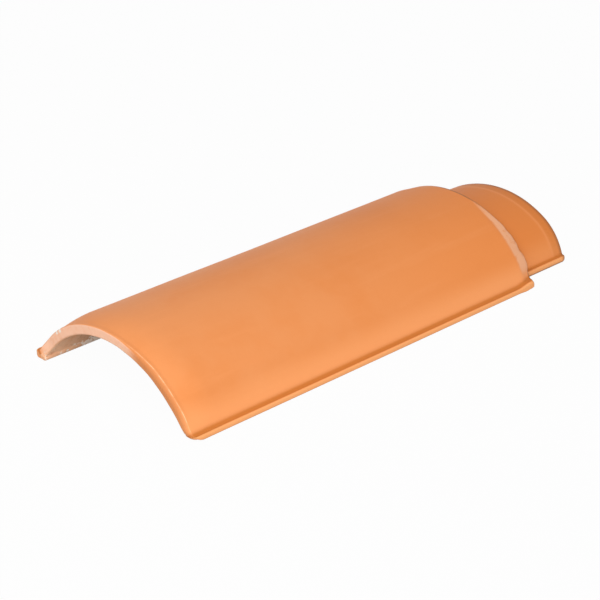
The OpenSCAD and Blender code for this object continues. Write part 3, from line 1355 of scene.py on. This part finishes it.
    def material(self) -> bpy.types.Material:
        """Build the finish.

        Returns:
            The material.
        """
        material, g = new_material(CLAY_SLOT)
        place = g.place()
        grains = (self.grain, self.fine, self.ragged, self.cloud)
        grain, fine, ragged, cloud = (g.noise(place, kind) for kind in grains)
        torn = ragged - NOISE_MIDDLE
        bare_mark = g.mark("bare")
        worn = g.mark("shoulder") * (self.shoulder_least + self.shoulder_broken.over(ragged))
        worn = worn.step(*self.shoulder_edge)
        bare = (bare_mark + torn * self.bare_ragged * bare_mark).step(*self.bare_edge)
        inside = g.mark("inside") * (1.0 - bare_mark)
        chip = (g.mark("chip") + torn * self.chip_ragged).step(*self.chip_edge)
        colour = g.blend(worn, self.outer(g, place, cloud, grain, ragged), self.edge)
        colour = g.blend(bare, colour, g.blend(self.bare_tint.over(fine), self.bare, self.slip_pale))
        colour = g.blend(inside, colour, self.inner(g, place, fine))
        colour = g.blend(chip, colour, self.lime)
        normal = g.bump(fine, self.fine_depth, g.bump(cloud, self.cloud_depth))
        normal = g.bump(grain * (self.grain_least + bare + inside), self.grain_depth, normal)
        rough = self.satin + (bare + worn).highest(inside) * self.dull + (fine - NOISE_MIDDLE) * self.uneven
        shader = g.shader()
        g.feed(shader.inputs["Base Color"], colour)
        g.feed(shader.inputs["Roughness"], rough)
        g.feed(shader.inputs["Normal"], normal)
        g.feed(shader.inputs["Specular IOR Level"], self.specular)
        return material


@dataclass(frozen=True)
class Lamp:
    """A square soft lamp that faces the tile, in metres and watts."""

    name: str
    spot: tuple[float, float, float]
    side: float
    watts: float

    def build(self) -> None:
        """Hang the lamp."""
        data = bpy.data.lights.new(self.name, "AREA")
        data.size, data.energy = self.side, self.watts
        lamp = bpy.data.objects.new(self.name, data)
        lamp.location = self.spot
        lamp.rotation_euler = (-Vector(self.spot)).to_track_quat("-Z", "Y").to_euler()
        bpy.context.scene.collection.objects.link(lamp)


@dataclass(frozen=True)
class Studio:
    """White floor, soft light, and a camera at the picture's viewing angle."""

    # Viewing direction in degrees, the point aimed at in millimetres, how far off the camera is, and how
    # far it is moved from there to its right and upwards.
    azimuth: float = -42.92
    elevation: float = 26.91
    aim: tuple[float, float, float] = (-59.77, 0.0, 0.0)
    distance: float = 1715.6
    pan: tuple[float, float] = (26.97, 27.22)
    # Focal length in pixels of the picture, and width of the sensor in millimetres.
    focal_px: float = 1998.75
    sensor: float = 36.0
    lamps: tuple[Lamp, ...] = (
        Lamp("key", (-2.3, -3.2, 1.6), 2.6, 101.0),
        Lamp("top", (-0.9, -0.15, 1.2), 0.9, 9.6),
    )
    sky: float = 0.38
    # The floor in metres, just under the tile, its grey, and the share of it that is seen as pure white.
    floor_half: float = 6.0
    floor_level: float = -0.0002
    floor_grey: float = 0.55
    floor_rough: float = 0.9
    floor_white: float = 0.97

    def axes(self) -> tuple[Vector, Vector, Vector]:
        """Directions of the camera from its azimuth and its elevation.

        Returns:
            The directions to its right, upwards and backwards.
        """
        a, e = math.radians(self.azimuth), math.radians(self.elevation)
        back = Vector((math.sin(a) * math.cos(e), -math.cos(a) * math.cos(e), math.sin(e)))
        right = Vector((math.cos(a), math.sin(a), 0.0))
        return right, back.cross(right), back

    def camera(self) -> None:
        """Set the camera up."""
        right, up, back = self.axes()
        data = bpy.data.cameras.new("camera")
        data.sensor_width = self.sensor
        data.lens = self.focal_px / PHOTO_SIDE_PX * self.sensor
        camera = bpy.data.objects.new("camera", data)
        spot = (Vector(self.aim) + back * self.distance + right * self.pan[0] + up * self.pan[1]) * MM
        turn = Matrix((right, up, back)).transposed()
        camera.matrix_world = Matrix.Translation(spot) @ turn.to_4x4()
        bpy.context.scene.collection.objects.link(camera)
        bpy.context.scene.camera = camera

    @staticmethod
    def seen(g: Graph) -> Value:
        """Tell what is looked at from what only lights the tile.

        Args:
            g: The graph to write in.

        Returns:
            A share that is 1 for what the camera, a gloss or a glass sees, and 0 for the light itself.
        """
        kinds = ("Is Camera Ray", "Is Glossy Ray", "Is Transmission Ray")
        camera, gloss, glass = (g.node("ShaderNodeLightPath", {}, {}, kind) for kind in kinds)
        return camera.highest(gloss).highest(glass)

    def surround(self) -> None:
        """An even pale sky, seen as white."""
        world = bpy.data.worlds.new("surround")
        bpy.context.scene.world = world
        world.use_nodes = True
        g = Graph(world.node_tree)
        sky = g.node("ShaderNodeBackground", {}, {"Color": WHITE, "Strength": self.sky})
        seen = g.node("ShaderNodeBackground", {}, {"Color": WHITE, "Strength": 1.0})
        both = g.node("ShaderNodeMixShader", {}, {0: self.seen(g), 1: sky, 2: seen})
        g.feed(g.tree.nodes["World Output"].inputs["Surface"], both)

    def floor(self) -> None:
        """A wide white floor that keeps a faint shadow under the tile."""
        half, level = self.floor_half, self.floor_level
        corners = [(-half, -half, level), (half, -half, level), (half, half, level), (-half, half, level)]
        mesh = bpy.data.meshes.new("floor")
        mesh.from_pydata(corners, [], [(0, 1, 2, 3)])
        floor = bpy.data.objects.new("floor", mesh)
        bpy.context.scene.collection.objects.link(floor)
        material, g = new_material("floor_paper")
        shader = g.shader()
        g.feed(shader.inputs["Base Color"], (self.floor_grey,) * 3)
        g.feed(shader.inputs["Roughness"], self.floor_rough)
        glow = g.node("ShaderNodeEmission", {}, {"Color": WHITE, "Strength": 1.0})
        paper = Value(g, shader.outputs[0])
        both = g.node("ShaderNodeMixShader", {}, {0: self.seen(g) * self.floor_white, 1: paper, 2: glow})
        g.feed(g.tree.nodes["Material Output"].inputs["Surface"], both)
        mesh.materials.append(material)

    def build(self) -> None:
        """Set up the camera, the light and the floor."""
        bpy.context.scene.view_settings.view_transform = "Standard"
        self.camera()
        for lamp in self.lamps:
            lamp.build()
        self.surround()
        self.floor()


def main() -> None:
    """Load the frame, dress the tile, set up the studio and note the sizes."""
    logging.basicConfig(level=logging.INFO, format="%(name)s: %(message)s")
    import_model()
    low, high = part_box(NODE)
    length, width, height = ((b - a) / MM for a, b in zip(low, high))
    tile = CoverTile(length, width, height)
    piece = tile.build()
    clay = FiredClay(tail=-0.5 * tile.length * MM, shoulder=(tile.body_l - 0.5 * tile.length) * MM)
    piece.data.materials.append(clay.material())
    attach(piece, BODY)
    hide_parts(NODE)
    log.info("%s: %d points, %d faces", piece.name, len(piece.data.vertices), len(piece.data.polygons))
    Studio().build()


if __name__ == "__main__":
    main()
